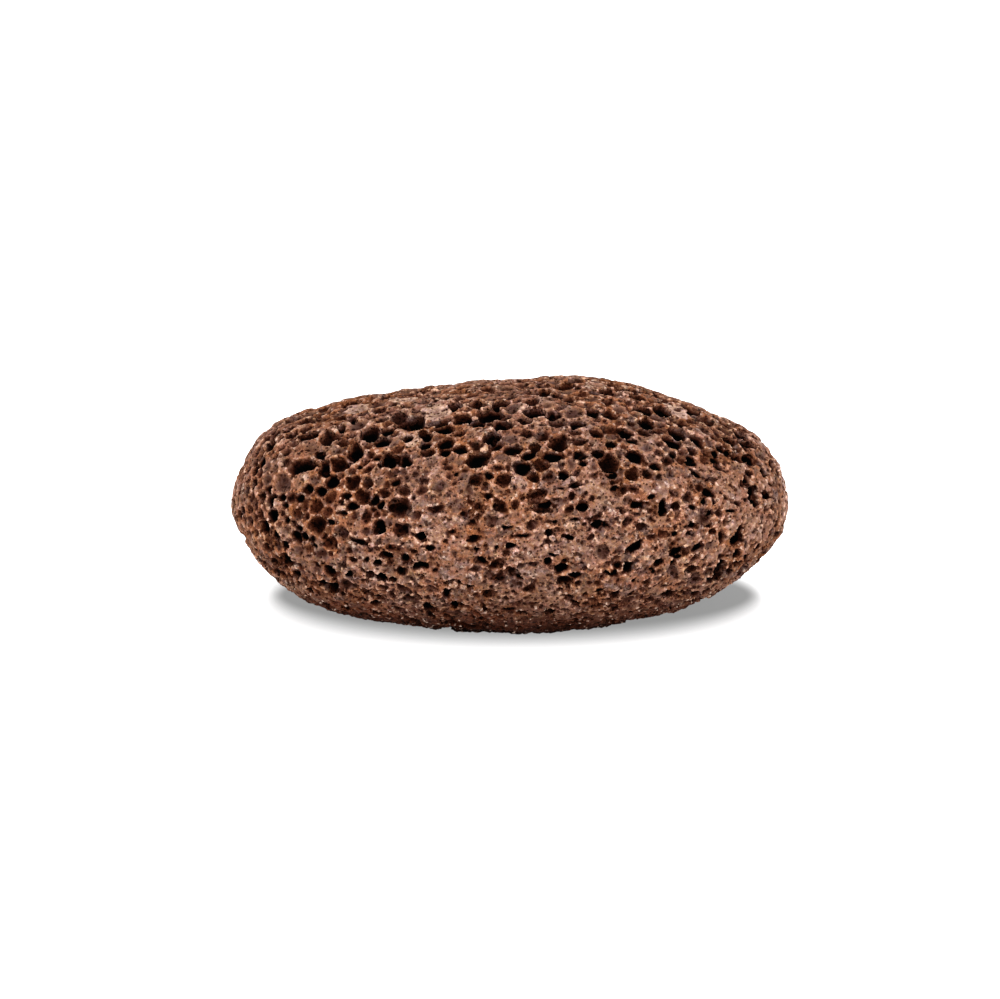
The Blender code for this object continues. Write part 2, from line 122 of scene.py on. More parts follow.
UPPER_RIGHT_PITS = (
    (5.9, 20.2, 2.9, 1.1, 0, DEEP), (7.8, 22.1, 2.2, 1.1, 0, DISH), (10.2, 21.4, 2.9, 1.3, 0, HALF),
    (12.3, 21.2, 0.9, 0.9, 0, DEEP), (8.3, 19.7, 3.1, 0.7, 5, DEEP), (10.6, 19.2, 2.2, 1.1, 5, HALF),
    (15.2, 20.2, 1.8, 0.9, 10, HALF), (15.5, 22.1, 2.9, 0.7, -5, HALF), (18.4, 20.1, 3.6, 1.4, 0, HALF),
    (23.0, 19.3, 3.3, 1.1, -10, BOWL), (27.0, 19.3, 3.6, 0.9, 5, DEEP), (8.0, 16.2, 2.9, 1.3, 0, BOWL),
    (11.7, 16.5, 3.8, 1.8, 0, DISH), (15.0, 16.5, 1.8, 1.8, 0, DEEP), (18.2, 16.1, 2.7, 1.4, 0, HALF),
    (24.0, 17.1, 2.7, 1.4, -15, BOWL), (27.6, 17.0, 2.7, 2.2, 0, BOWL), (30.3, 16.9, 2.5, 2.4, 0, FLAT),
    (32.8, 17.3, 3.1, 2.2, -10, BOWL), (35.0, 15.5, 4.2, 2.4, 0, HALF), (37.7, 15.5, 1.3, 1.3, -30, DEEP),
    (38.7, 14.8, 1.6, 0.9, -20, DEEP), (8.8, 14.7, 2.9, 1.4, 10, HALF), (12.4, 14.4, 3.4, 1.3, 15, BOWL),
    (5.9, 14.2, 1.6, 0.5, 5, DEEP), (15.0, 14.4, 1.4, 0.7, 0, DISH), (12.0, 13.0, 2.7, 1.1, 0, HALF),
    (15.5, 12.8, 2.4, 1.1, 0, HALF), (21.0, 12.8, 2.2, 1.1, -20, DEEP), (22.2, 14.4, 2.0, 1.4, 0, DISH),
    (24.9, 14.6, 2.4, 1.6, -20, BOWL), (26.7, 15.6, 2.2, 1.1, 0, DISH), (30.6, 15.0, 3.3, 1.6, 10, HALF),
    (30.6, 12.9, 3.1, 2.0, 10, BOWL), (5.9, 12.3, 2.9, 1.3, 5, HALF), (8.9, 11.2, 3.4, 2.5, 10, HALF),
    (12.6, 11.4, 3.3, 1.4, 0, HALF), (18.4, 10.8, 1.6, 0.9, 20, DEEP), (22.2, 11.4, 2.4, 0.7, -10, DEEP),
    (27.0, 10.8, 1.6, 0.7, 0, HALF), (25.0, 10.2, 2.9, 1.1, 0, DISH), (29.7, 11.2, 3.6, 1.3, 10, BOWL),
    (8.0, 8.6, 4.7, 1.4, 0, BOWL), (12.7, 8.8, 2.9, 1.3, 5, BOWL), (16.0, 9.1, 2.2, 1.1, 0, DEEP),
    (18.0, 7.5, 3.6, 2.9, 0, HALF), (22.6, 8.6, 4.7, 1.3, 0, BOWL), (29.5, 8.9, 1.1, 1.1, 40, DEEP),
    (13.3, 7.3, 1.6, 0.7, 0, DEEP), (26.3, 6.8, 2.2, 0.9, 0, DEEP), (25.0, 5.5, 2.5, 1.3, 0, HALF),
    (18.4, 5.2, 2.5, 0.7, 0, DEEP), (20.2, 6.1, 1.3, 1.3, 0, DISH), (9.8, 5.1, 1.6, 1.6, -45, DEEP),
    (11.7, 3.5, 2.9, 1.4, 10, BOWL), (7.1, 4.9, 2.9, 1.8, 0, DISH), (9.3, 2.8, 1.8, 0.5, 0, DEEP),
    (18.9, 2.8, 1.4, 0.7, 10, DEEP), (22.6, 2.8, 2.2, 1.1, -10, HALF), (25.9, 1.4, 1.6, 0.7, 15, DEEP),
    (29.7, 1.9, 2.2, 1.1, -30, HALF), (35.2, 13.2, 1.8, 1.1, 0, DISH), (37.9, 12.7, 1.6, 0.9, -10, HALF),
    (41.9, 12.6, 2.2, 1.6, -30, BOWL), (39.7, 11.8, 2.5, 0.9, -5, DEEP), (34.0, 11.5, 2.2, 2.4, 45, BOWL),
    (36.1, 11.1, 1.6, 1.6, 0, DISH), (42.4, 10.8, 1.4, 1.1, 0, DEEP), (43.9, 10.9, 2.5, 1.1, 20, DEEP),
    (38.2, 10.0, 1.6, 0.7, 0, DEEP), (33.0, 9.5, 1.3, 0.9, 0, HALF), (37.2, 9.1, 0.7, 0.7, 0, DEEP),
    (39.3, 9.3, 0.9, 0.9, 0, DEEP), (45.5, 8.9, 3.1, 2.2, -20, DISH), (43.6, 8.2, 2.2, 0.9, -10, DEEP),
    (32.7, 8.2, 1.1, 0.9, 20, DEEP), (37.2, 7.9, 1.6, 0.7, 20, DEEP), (37.7, 6.6, 1.8, 0.9, -10, DEEP),
    (32.8, 7.4, 2.2, 0.5, 0, DEEP), (47.6, 6.8, 1.3, 1.6, 0, DEEP), (46.0, 5.5, 1.8, 0.9, -20, DEEP),
    (43.4, 5.6, 1.8, 0.9, 15, HALF), (33.5, 5.6, 2.2, 0.7, -20, DEEP), (29.3, 5.4, 2.5, 1.1, 20, DISH),
    (43.0, 4.3, 1.3, 1.3, 0, DEEP), (35.8, 4.3, 1.1, 0.5, 20, DEEP), (44.0, 1.9, 2.7, 2.0, 0, BOWL),
    (46.5, 1.4, 2.5, 0.9, 10, DEEP), (49.4, 2.8, 0.9, 0.9, 0, HALF), (48.3, 4.2, 1.1, 1.8, 0, DISH),
    (36.1, 1.9, 2.4, 1.1, -15, DEEP), (32.4, 1.0, 2.5, 1.8, -20, HALF), (35.2, 0.3, 0.9, 1.1, 0, DEEP),
    (37.0, 0.3, 0.7, 0.9, 0, DEEP), (41.1, 0.0, 1.6, 0.7, 0, DEEP), (44.5, 0.0, 2.2, 1.1, -10, DEEP),
)
LOWER_LEFT_PITS = (
    (-48.4, -1.1, 1.4, 0.7, 0, DEEP), (-40.7, -0.3, 1.1, 0.7, -10, DEEP), (-42.9, -2.0, 2.2, 1.8, 0, BOWL),
    (-44.6, -4.1, 2.2, 1.1, -30, DEEP), (-40.4, -3.1, 1.1, 0.9, -10, DEEP),
    (-35.0, -4.1, 2.9, 2.2, 0, HALF), (-38.1, -4.5, 1.3, 0.7, -20, DEEP),
    (-42.4, -5.7, 1.8, 0.9, -35, DEEP), (-37.3, -5.9, 1.3, 0.9, -30, DEEP),
    (-38.7, -6.1, 1.8, 1.1, -45, DEEP), (-35.8, -6.5, 0.9, 0.9, 0, HALF), (-40.7, -7.5, 1.6, 0.9, 10, DEEP),
    (-44.2, -8.1, 1.4, 0.9, -20, HALF), (-35.3, -7.7, 1.1, 0.5, -20, DEEP),
    (-34.4, -9.0, 2.0, 1.6, 0, DISH), (-32.4, -3.4, 1.3, 0.5, -10, DEEP), (-30.5, 0.1, 1.3, 0.7, -10, DEEP),
    (-28.7, -0.5, 2.4, 1.1, 0, DEEP), (-30.1, -1.7, 1.8, 0.7, -5, DEEP), (-26.0, -2.5, 1.4, 2.2, -20, HALF),
    (-23.5, -0.2, 1.6, 1.1, 0, DEEP), (-23.8, -4.4, 2.2, 2.0, -10, BOWL), (-26.0, -5.2, 2.2, 1.3, 0, DISH),
    (-27.4, -6.9, 4.3, 1.1, -8, BOWL), (-22.3, -9.4, 2.0, 1.1, -5, DEEP),
    (-24.0, -10.8, 1.6, 1.1, -10, DEEP), (-26.0, -10.2, 1.1, 0.7, 0, DEEP),
    (-40.3, -10.3, 2.7, 1.4, -40, BOWL), (-42.2, -12.7, 2.2, 0.7, -30, HALF),
    (-38.7, -13.0, 1.6, 1.1, -30, DEEP), (-32.0, -11.0, 0.9, 0.7, 0, HALF),
    (-32.5, -12.4, 2.0, 1.4, 0, HALF), (-29.0, -13.0, 1.3, 1.3, -30, DEEP),
    (-34.1, -14.4, 1.4, 0.9, -45, DEEP), (-32.2, -15.4, 2.5, 1.4, 10, HALF),
    (-29.4, -14.8, 3.3, 1.6, 0, DISH), (-36.1, -15.8, 1.1, 0.7, 0, DEEP), (-23.2, -13.5, 1.8, 1.4, 0, DEEP),
    (-23.8, -16.8, 0.7, 0.5, 0, DEEP), (-24.2, -18.1, 1.6, 0.9, -10, DEEP),
    (-24.0, -19.9, 1.4, 0.7, 0, DEEP),
)
LOWER_MIDDLE_PITS = (
    (-20.0, -0.5, 4.9, 2.9, 0, HALF), (-20.7, 0.5, 1.4, 1.3, 0, DEEP), (-13.5, -1.0, 4.3, 1.4, 5, HALF),
    (-13.9, -2.4, 2.5, 1.6, -30, DISH), (-8.0, -2.0, 2.5, 1.4, 25, HALF), (-5.6, -0.7, 2.2, 1.1, -25, HALF),
    (-1.7, -0.6, 3.8, 2.0, -25, HALF), (-2.6, -0.5, 1.4, 0.9, -20, DEEP), (-3.3, -3.1, 3.6, 2.2, 0, DISH),
    (-0.5, -4.3, 2.0, 0.7, 5, DEEP), (-6.9, -3.4, 2.2, 0.9, 0, HALF), (-16.2, -4.1, 1.1, 0.7, -20, HALF),
    (-19.5, -4.6, 2.9, 2.2, 0, HALF), (-16.0, -6.1, 2.0, 1.8, 20, BOWL), (-10.8, -5.2, 1.8, 0.9, 20, HALF),
    (-6.5, -6.4, 2.5, 1.1, 5, DEEP), (2.0, -5.9, 3.3, 0.7, 0, DEEP), (0.2, -7.6, 1.6, 0.9, 0, DEEP),
    (-2.4, -8.0, 0.7, 0.7, 0, DEEP), (-6.0, -8.3, 1.1, 0.9, 0, DEEP), (-14.5, -8.1, 1.8, 0.9, 0, DEEP),
    (-20.1, -8.0, 1.4, 0.7, 0, HALF), (-12.3, -9.1, 1.8, 0.5, 5, HALF), (-18.9, -9.9, 1.4, 0.9, 5, DEEP),
    (-16.4, -11.3, 2.7, 1.1, 20, DEEP), (-19.5, -12.3, 1.6, 1.1, 20, HALF),
    (-5.2, -10.4, 2.4, 1.6, -20, BOWL), (-6.2, -11.8, 2.2, 1.3, 0, HALF), (-0.6, -9.0, 1.3, 1.1, 0, HALF),
    (0.5, -12.6, 2.5, 1.6, -20, HALF), (1.7, -13.5, 1.6, 0.9, -30, DEEP), (-1.7, -13.7, 2.5, 1.1, 10, HALF),
    (4.4, -11.0, 2.5, 0.9, 5, HALF), (1.3, -14.7, 2.7, 1.6, -10, DISH), (-9.1, -14.3, 0.9, 0.9, 0, DEEP),
    (-7.1, -15.0, 1.3, 0.7, 20, DEEP), (-14.3, -15.5, 2.0, 1.1, 0, HALF),
    (-11.4, -16.3, 1.3, 1.8, -20, DEEP), (-14.7, -19.1, 1.6, 1.6, -10, DEEP),
    (-10.0, -18.5, 1.3, 0.9, 0, DEEP), (-8.4, -18.5, 2.9, 0.7, -5, HALF),
    (-19.7, -19.3, 1.8, 0.9, 25, DEEP), (-0.3, -19.3, 2.9, 0.5, 5, HALF), (-1.7, -20.6, 1.6, 0.7, 0, HALF),
)
LOWER_RIGHT_PITS = (
    (4.8, 1.4, 4.0, 2.4, 0, HALF), (6.1, -0.6, 4.0, 1.8, 0, BOWL), (8.9, 0.3, 2.9, 1.4, 0, DISH),
    (13.2, -0.5, 2.0, 1.6, 35, DEEP), (17.2, -0.9, 1.1, 1.1, 0, HALF), (19.4, -0.8, 0.9, 0.5, 10, DEEP),
    (23.5, -0.3, 3.6, 1.4, 0, BOWL), (23.0, -2.0, 1.4, 0.9, -10, HALF), (27.9, -0.8, 1.6, 2.0, 0, DEEP),
    (7.3, -3.3, 2.5, 0.7, -5, DEEP), (12.2, -2.9, 2.5, 0.5, -5, DEEP), (16.5, -3.7, 4.3, 0.9, 5, BOWL),
    (7.1, -5.4, 1.3, 1.3, 0, DEEP), (10.7, -6.2, 2.5, 1.1, -3, DEEP), (8.5, -7.1, 1.6, 0.7, 0, HALF),
    (8.0, -9.3, 1.4, 0.7, -10, DEEP), (6.8, -10.5, 1.1, 1.1, -30, DEEP), (12.2, -9.1, 2.5, 0.9, -10, HALF),
    (13.2, -10.8, 1.3, 0.5, -15, HALF), (9.3, -11.9, 2.4, 1.1, 25, DEEP), (11.8, -13.1, 2.0, 0.7, 0, DEEP),
    (22.5, -8.0, 3.6, 1.6, 28, BOWL), (16.5, -8.9, 3.6, 2.5, 0, DISH), (30.1, -8.7, 3.3, 1.1, 20, BOWL),
    (21.5, -11.7, 1.6, 1.8, 0, DEEP), (19.6, -11.5, 1.4, 1.4, 0, HALF), (17.3, -12.6, 1.1, 0.9, -30, DEEP),
    (18.9, -13.0, 1.4, 0.9, -10, DEEP), (16.7, -13.3, 0.9, 0.7, 0, DEEP), (22.4, -14.0, 0.7, 0.5, 0, DEEP),
    (14.7, -14.3, 0.9, 0.5, 0, HALF), (10.6, -15.4, 0.9, 1.6, 15, HALF), (16.4, -15.7, 1.8, 0.5, -5, DEEP),
    (29.1, -16.4, 2.7, 1.1, 3, DEEP), (28.6, -18.4, 2.4, 0.4, 3, DEEP), (26.1, -12.5, 0.7, 0.7, 0, DEEP),
    (29.7, -10.8, 1.1, 0.7, 0, DEEP), (30.0, -5.5, 0.9, 0.5, 10, DEEP), (29.9, -12.7, 2.7, 3.1, 0, DISH),
    (23.8, -12.7, 1.4, 0.9, 0, DISH), (19.1, -16.5, 1.8, 1.1, 10, HALF),
)
RIGHT_END_PITS = (
    (33.0, -0.7, 2.5, 0.7, -15, DEEP), (40.0, -1.4, 3.3, 0.7, -5, DEEP), (35.5, -2.3, 3.3, 2.9, 0, DISH),
    (36.3, -1.9, 2.2, 1.1, 35, DEEP), (35.9, -4.1, 2.5, 0.4, 0, DEEP), (33.2, -4.0, 1.6, 1.1, -20, DEEP),
    (32.7, -5.6, 1.8, 0.7, -15, DEEP), (41.8, -4.6, 1.3, 0.9, 10, DEEP), (41.3, -6.6, 2.4, 1.3, 0, DEEP),
    (42.8, -7.4, 0.7, 0.5, 10, DEEP), (34.2, -8.0, 2.4, 1.1, 28, DEEP), (30.5, -9.7, 1.1, 0.5, 0, DEEP),
    (41.3, -9.2, 1.8, 0.7, 25, DEEP), (42.8, -9.8, 0.7, 0.5, 10, DEEP), (38.4, -9.7, 1.4, 0.7, -20, HALF),
    (38.5, -11.3, 2.2, 1.1, 0, DEEP), (37.9, -12.9, 2.4, 1.6, 0, HALF), (40.0, -12.3, 1.4, 0.9, -10, HALF),
    (36.1, -13.9, 0.9, 0.9, 30, DEEP), (33.7, -13.9, 2.9, 2.0, 0, DISH), (35.8, -12.7, 1.8, 1.4, 20, DISH),
    (33.7, -16.6, 1.4, 1.3, 30, DEEP), (35.8, -16.0, 1.6, 0.9, 10, HALF),
)
NEAR_PITS = (
    UPPER_LEFT_PITS + UPPER_MIDDLE_PITS + UPPER_RIGHT_PITS
    + LOWER_LEFT_PITS + LOWER_MIDDLE_PITS + LOWER_RIGHT_PITS + RIGHT_END_PITS
)
FLATTEST_SIGHT = 0.4            # a mouth seen edge on is opened out by no more than 1 over this
NEAR_WIDENING = 1.08

# The other bubbles are scattered where there is room, largest first: (where, largest and
# smallest half width in mm, tries).
SCATTER_SEED = 7
SCATTER = (
    ("far", 2.0, 1.4, 1200),
    ("far", 1.5, 1.0, 2500),
    ("honeycomb", 1.6, 0.8, 8000),
    ("honeycomb", 0.9, 0.5, 9000),
    ("honeycomb", 0.6, 0.36, 3500),
    ("gritty", 1.2, 0.8, 700),
    ("gritty", 0.9, 0.45, 8000),
    ("gritty", 0.5, 0.26, 22000),
)
WALLS = {"far": 0.2 * MM, "honeycomb": 0.12 * MM, "gritty": 0.12 * MM}    # left between mouths
HONEYCOMB_KINDS = (BOWL, HALF, CUP, CUP, DISH)
GRITTY_KINDS = (DEEP, BOWL, HALF, DISH, DISH, SCRAPE)
SCATTERED_SHADE = 0.62           # the scattered bubbles get less painted shade than the rest, by this factor
STRETCHES = {"far": 1.7, "honeycomb": 1.8, "gritty": 2.2}      # length over width, at most
FLOW = Vector((1.0, 0.9, 0.25))         # the lava flowed this way and drew the bubbles out,
FLOW_SPREAD = math.radians(35)          # give or take this much
HONEYCOMB_LEVEL = 33 * MM       # the honeycomb covers the stone above about this height,
HONEYCOMB_DIP = 15 * MM         # and reaches this much lower at the left end,
HONEYCOMB_TURN = (-10 * MM, -35 * MM)   # sinking from the first of these to the second
NEAR_SIDE = 0.3                 # a skin that faces the eye by more than this has the near pits
INNER_FROM = 0.6 * MM           # wider bubbles have smaller ones in their walls,
INNER_COUNT = 1.6               # about this many each,
INNER_SIZES = (0.15, 0.36)      # as shares of their own width,
INNER_DOWN = 0.5                # rather below them than beside them
INNER_STRETCH = 1.1

# Carving.
BALL_ROUNDS = 3                 # subdivisions of each bubble's ball
SWELLS = (0.1, 0.04)            # how uneven a ball is: in the grit, and in the honeycomb
SWELL_TURNS = (2.0, 3.5, 5.0)   # by waves that turn this often across it
NEIGHBOURS = 10                 # a mouth makes room for this many others
CROWDED_WALLS = (0.15 * MM, 0.3 * MM)   # and leaves a wall this thick: in the grit, honeycomb
GROWTH = (1.1, 1.32)            # it fills the gaps up to this much: in the grit, honeycomb
SHRINKING = 0.8                 # and gives way down to this much
SIDELONG = 0.15                 # neighbours more sideways than this are no hindrance
VOXEL = 0.24 * MM
TRIANGLES = 196_000

# Unevenness of the broken skin: (spacing, swing).
WAVES = (6.0 * MM, 0.75 * MM)
ROUGHNESS = ((1.6 * MM, 0.45 * MM), (0.7 * MM, 0.3 * MM))
UNEVEN_NOISE = {"Detail": 2.0, "Roughness": 0.6}
HONEYCOMB_CALM = 0.2            # the share of the roughness that the honeycomb has,
HONEYCOMB_EDGE = (-4 * MM, 2 * MM)      # reached between these heights about its level
BOWL_CALM = 0.65                # the share of all unevenness inside the bubbles,
BOWL_EDGE = (0.1 * MM, 0.7 * MM)        # reached between these depths

# What the colours follow on the mesh. Relief of three sizes is what so many rounds of evening
# out take away.
# The edge relief draws the painted highlight on the rims, the ridge relief painted highlights and shade,
# the cavity relief painted shade.
RELIEF_ROUNDS = {"edge": 2, "ridge": 8, "cavity": 40}
OWNERS = 6                      # a place on the stone belongs to one of this many bubbles near it
DEEPEST = 1.2                   # a place counts as no deeper than this share of its bubble
FULLY_INSIDE = 0.5              # and as fully inside it from this share

# Colours.
WARM = (0.262, 0.097, 0.044, 1)
COOL = (0.212, 0.095, 0.061, 1)
DULL = (0.165, 0.087, 0.063, 1)
COOL_RANGE, DULL_RANGE = (0.35, 0.65), (0.48, 0.66)
SMOOTH = (0.222, 0.130, 0.095, 1)       # the smooth bottoms of shallow bubbles
SMOOTH_SHARE, SMOOTH_CALM = 0.6, 0.5
PALE = (0.520, 0.340, 0.275, 1)         # and of those that aren't dark at all
PALE_SHARE = 0.95
# Painted highlight along the rims between bubbles.
RIM_HIGHLIGHT = (0.500, 0.284, 0.202, 1)
RIM_HIGHLIGHT_RANGE, RIM_HIGHLIGHT_SHARE = (0.06, 0.16), 0.85
# Painted highlight on the ridges and painted shade where the surface dips.
RIDGE_LIGHT_RANGE, RIDGE_LIGHT_LEVELS = (-0.35, 0.25), (0.35, 1.15)
# Painted shade in the cavities of the surface.
CAVITY_SHADE_RANGE, CAVITY_SHADE_LEVEL = (-0.9, 0.0), 0.3
# Painted shade inside the bubbles, down to black at their bottoms.
HOLLOW_SHADE_RANGE, HOLLOW_SHADE_LEVEL = (0.03, 0.3), 0.64
BOTTOM_SHADE_RANGE, BOTTOM_SHADE_LEVEL = (0.34, 0.82), 0.0
# Painted shade on the underside, darker towards the ground.
UNDERSIDE_SHADE_REACH, UNDERSIDE_SHADE_LEVEL = 19 * MM, 0.02
PALER_BELT_RISE, PALER_BELT_FALL = (15 * MM, 22 * MM), (31 * MM, 36 * MM)   # a paler belt between these
PALER_BELT_ALONG = (-28 * MM, -15 * MM)       # heights, from here to the right end
PALER_BELT_GAIN = 0.09
SHADE_TINT, SHADE_RANGE = (1.0, 0.52, 0.38, 1), (0.0, 0.55)     # what the darkest places lean to
GLARE_TINT, GLARE_RANGE = (0.92, 1.06, 1.17, 1), (0.8, 1.6)     # and the palest
INSIDE_TINT = (0.96, 1.03, 1.17, 1)     # inside the bubbles it is greyer
OUTSIDE_TINT = (1.045, 0.975, 0.91, 1)  # than on the crust between them
INSIDE_HOLLOW, INSIDE_CAVITY = (0.1, 0.35), (-1.0, -0.35)
MAUVE, ORANGE = (1.0, 1.0, 1.5, 1), (1.0, 1.0, 0.5, 1)
TINGES = ((0.35 * MM, 0.9), (1.2 * MM, 0.4), (4 * MM, 0.3))     # (spacing, swing between them)
TINGE_NOISE = {"Detail": 2.0}
# Painted glints on pale grains of the ridges.
PAINTED_GLINT = (0.660, 0.480, 0.380, 1)
PAINTED_GLINT_DRAW, PAINTED_GLINT_RIDGE, PAINTED_GLINT_SHARE = (0.8, 0.9), (0.0, 0.2), 0.55
DRYNESS, SHINE = 0.9, 0.02

# Grit: sizes, then how far each swings the brightness, then how far it stands out.
GRAIN = 0.42 * MM
NOISE_SIZES = {
    "broad": 12 * MM, "patch": 5 * MM, "blotch": 3 * MM, "middle": 0.9 * MM, "fine": 0.3 * MM,
}
GRIT_NOISE = {"Detail": 3.0, "Roughness": 0.65}
PORES = ((1.0 * MM, 0.5), (0.55 * MM, 0.55))   # (spacing, how rare)
PORE_EDGE, PORE_DRAW = (0.2, 0.4), 0.1  # how softly a pore ends, and how softly it is drawn
GRAIN_SWING, FINE_SWING, MIDDLE_SWING, PATCH_SWING, BROAD_SWING = 1.3, 1.0, 0.9, 1.25, 0.9
# Painted shade in the pores.
PORE_SHADE = 0.75
BUMP = 0.4 * MM
GRIT_BUMP, GRAIN_BUMP, PORE_BUMP = 0.6, 0.9, 1.2

# Floor: white paper that glows, with a painted shadow under the stone: a flat grey ellipse whose edge is
# blurred.
FLOOR_WIDTH = 12
SHADE_MIDDLE = (1.2 * MM, 13.5 * MM, 0)
SHADE_SIZE = (45 * MM, 27.5 * MM, 1)
SHADE_BLUR = (0.11, 0.6, 0)     # width of the blurred edge each way, as shares of the size
LEAST_BLUR = 0.001
SHADED_PAPER, OPEN_PAPER = (0.08, 0.08, 0.08, 1), (0.75, 0.75, 0.75, 1)
SHADED_GLOW, OPEN_GLOW = (0.30, 0.30, 0.298, 1), (0.9, 0.9, 0.9, 1)
BACKDROP_AWAY, BACKDROP_HEIGHT, BACKDROP_SIDES = 5.5, 0.9, 64   # a ring closes off the floor

# Light: an even surround, then (name, direction it comes from, strength, softness in degrees).
WORLD_LIGHT = 0.55
SUNS = (
    ("key", (0.07, -0.4, 1.0), 2.4, 16),
    ("near_fill", (0.1, -1.0, 0.9), 1.5, 80),
)


def deselect():
    """Leave nothing selected."""
    bpy.ops.object.select_all(action="DESELECT")


def make_active(thing):
    """Select one object alone."""
    deselect()
    thing.select_set(True)
    bpy.context.view_layer.objects.active = thing


def link(thing):
    """Put an object in the scene."""
    bpy.context.scene.collection.objects.link(thing)


def twin(thing, name):
    """Copy an object with its mesh."""
    copied = thing.copy()
    copied.data = thing.data.copy()
    copied.name = name
    link(copied)
    return copied


def apply_modifier(thing, name, kind, **settings):
    """Add one modifier, set it up and apply it."""
    modifier = thing.modifiers.new(name, kind)
    for setting, value in settings.items():
        setattr(modifier, setting, value)
    make_active(thing)
    bpy.ops.object.modifier_apply(modifier=name)


def points_of(mesh):
    """Return a mesh's vertex places as an array."""
    places = np.empty(len(mesh.vertices) * 3)
    mesh.vertices.foreach_get("co", places)
    return places.reshape(-1, 3)


def edges_of(mesh):
    """Return the two vertices of each of a mesh's edges as an array."""
    ends = np.empty(len(mesh.edges) * 2, dtype=int)
    mesh.edges.foreach_get("vertices", ends)
    return ends.reshape(-1, 2)


def store(mesh, name, values):
    """Store one value at each vertex, for the material to read."""
    mesh.attributes.new(name, "FLOAT", "POINT").data.foreach_set("value", values)


class Wire:
    """One value on its way through a node tree: sums and products of wires add Math nodes."""

    def __init__(self, bench, socket):
        self.bench = bench
        self.socket = socket

    def _math(self, operation, *values):
        sockets = dict(enumerate(values))
        return self.bench.node("ShaderNodeMath", {"operation": operation}, sockets)

    def __add__(self, other):
        return self._math("ADD", self, other)

    def __radd__(self, other):
        return self._math("ADD", other, self)

    def __sub__(self, other):
        return self._math("SUBTRACT", self, other)

    def __rsub__(self, other):
        return self._math("SUBTRACT", other, self)

    def __mul__(self, other):
        return self._math("MULTIPLY", self, other)

    def __rmul__(self, other):
        return self._math("MULTIPLY", other, self)

    def __truediv__(self, other):
        return self._math("DIVIDE", self, other)

    def __rtruediv__(self, other):
        return self._math("DIVIDE", other, self)

    def most(self, other):
        return self._math("MAXIMUM", self, other)


class Bench:
    """Adds nodes to one tree."""

    def __init__(self, tree):
        self.tree = tree

    def node(self, kind, settings=None, sockets=None, output=0):
        """Add a node: its settings are set first, then its sockets get values or wires."""
        node = self.tree.nodes.new(kind)
        for setting, value in (settings or {}).items():
            setattr(node, setting, value)
        for socket, value in (sockets or {}).items():
            if isinstance(value, Wire):
                self.tree.links.new(value.socket, node.inputs[socket])
            else:
                node.inputs[socket].default_value = value
        return Wire(self, node.outputs[output]) if node.outputs else None

    def mix(self, factor, first, second, blend="MIX"):
        """Mix two colours: of a Mix node's many sockets, 6 and 7 in and 2 out are colours."""
        settings = {"data_type": "RGBA", "blend_type": blend, "clamp_factor": True}
        return self.node("ShaderNodeMix", settings, {0: factor, 6: first, 7: second}, output=2)

    def gray(self, value):
        """Make a value a grey colour."""
        return self.node("ShaderNodeCombineColor", None, {0: value, 1: value, 2: value})

    def between(self, value, low, high, first=0.0, second=1.0):
        """Ease from first to second as a value goes from low to high."""
        settings = {"interpolation_type": "SMOOTHSTEP"}
        sockets = {0: value, 1: low, 2: high, 3: first, 4: second}
        return self.node("ShaderNodeMapRange", settings, sockets)

    def vector(self, operation, first, second):
        """Work out a vector from two, axis by axis."""
        return self.node("ShaderNodeVectorMath", {"operation": operation}, {0: first, 1: second})

    def length(self, vector):
        """Measure a vector."""
        settings = {"operation": "LENGTH"}
        return self.node("ShaderNodeVectorMath", settings, {0: vector}, output="Value")

    def along_axis(self, place, name):
        """Take one coordinate of a place."""
        return self.node("ShaderNodeSeparateXYZ", None, {0: place}, output=name)

    def noise(self, place, spacing, shape):
        """Make values that swing round a half."""
        return self.node("ShaderNodeTexNoise", None, {"Vector": place, "Scale": 1 / spacing, **shape})

    def cells(self, place, spacing, output):
        """Part space into cells: give each its own Color, or the Distance from its middle."""
        return self.node("ShaderNodeTexVoronoi", None, {"Vector": place, "Scale": 1 / spacing}, output)

    def surface(self, sockets):
        """Finish a material: its shader has these values and wires."""
        shader = self.node("ShaderNodeBsdfPrincipled", None, sockets)
        self.node("ShaderNodeOutputMaterial", None, {"Surface": shader})


def add_smooth_skin(solid):
    """Draw a smooth skin over the solid: its hull, evened out."""
    deselect()
    skin = twin(solid, "skin")
    make_active(skin)
    bpy.ops.object.mode_set(mode="EDIT")
    bpy.ops.mesh.select_all(action="SELECT")
    bpy.ops.mesh.remove_doubles(threshold=MERGE_REACH)
    bpy.ops.mesh.convex_hull()
    bpy.ops.object.mode_set(mode="OBJECT")
    apply_modifier(skin, "even", "REMESH", mode="VOXEL", voxel_size=SKIN_CELL)
    apply_modifier(skin, "smooth", "SMOOTH", factor=0.5, iterations=SKIN_SMOOTHING)
    apply_modifier(skin, "regain", "DISPLACE", strength=SKIN_REGAIN, mid_level=0.0)
    return skin


def bubble(place, normal, long_axis, half_width, half_height, kind):
    """Describe one bubble by its middle, its three axes and half sizes, its depth and how dark painted
    shade makes its bottom.
    """
    sink, fullness, dark = kind
    opened = 1 / math.sqrt(1 - sink * sink)
    half_depth = fullness * min(half_width, half_height)
    short_axis = normal.cross(long_axis)
    return {
        "place": place,
        "middle": place - normal * sink * half_depth,
        "axes": (long_axis, short_axis, normal),
        "halves": (half_width * opened, half_height * opened, half_depth),
        "open": (half_width, half_height),
        "mouth": math.sqrt(half_width * half_height),
        "inner": False,
        "depth": half_depth * (1 + sink),
        "dark": dark,
        "shallow": sink < SHALLOW_SINK,
    }


